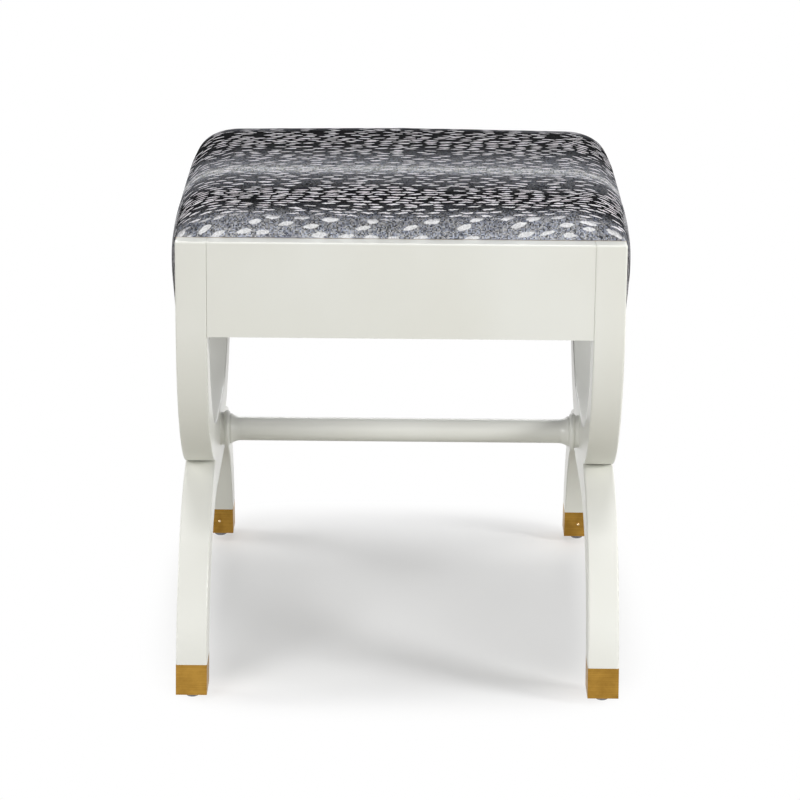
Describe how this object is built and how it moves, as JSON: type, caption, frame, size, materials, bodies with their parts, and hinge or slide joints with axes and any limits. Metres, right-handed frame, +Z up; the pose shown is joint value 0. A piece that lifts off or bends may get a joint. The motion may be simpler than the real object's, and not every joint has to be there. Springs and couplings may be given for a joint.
{
  "type": "ottoman",
  "caption": "X-base upholstered ottoman: curved white side frames joined by a turned stretcher, brass foot caps on glides, and a padded fabric seat set between front and rear aprons.",
  "frame": {"origin": "on the floor, under the centre of the seat", "axes": "+X to the right across the width, +Y to the rear, +Z up"},
  "size_m": [0.487, 0.575, 0.515],
  "materials": {
    "white_lacquer": "satin off-white lacquer",
    "raw_wood": "unfinished",
    "plywood": "unfinished",
    "brass": "brushed",
    "nickel": "dull nickel plate",
    "screw_steel": "zinc plated",
    "padding": "foam and batting",
    "seat_fabric": "slubby woven cotton and linen with a printed spotted pattern",
    "dust_cloth": "black cambric"
  },
  "bodies": {
    "root": {"apron_dowels": "raw_wood", "corner_block_screws": "screw_steel", "deck_screws": "screw_steel", "dust_cover": "dust_cloth", "ferrule_pins": "brass", "front_apron": "white_lacquer", "front_left_corner_block": "raw_wood", "front_left_ferrule": "brass", "front_left_glide": "nickel", "front_right_corner_block": "raw_wood", "front_right_ferrule": "brass", "front_right_glide": "nickel", "left_lower_yoke": "white_lacquer", "left_side_padding": "padding", "left_side_rail": "raw_wood", "left_upper_yoke": "white_lacquer", "rear_apron": "white_lacquer", "rear_left_corner_block": "raw_wood", "rear_left_ferrule": "brass", "rear_left_glide": "nickel", "rear_right_corner_block": "raw_wood", "rear_right_ferrule": "brass", "rear_right_glide": "nickel", "right_lower_yoke": "white_lacquer", "right_side_padding": "padding", "right_side_rail": "raw_wood", "right_upper_yoke": "white_lacquer", "seat_cover": "seat_fabric", "seat_deck": "plywood", "seat_foam": "padding", "side_rail_dowels": "raw_wood", "stretcher": "white_lacquer", "waist_dowels": "raw_wood"}
  },
  "joints": []
}
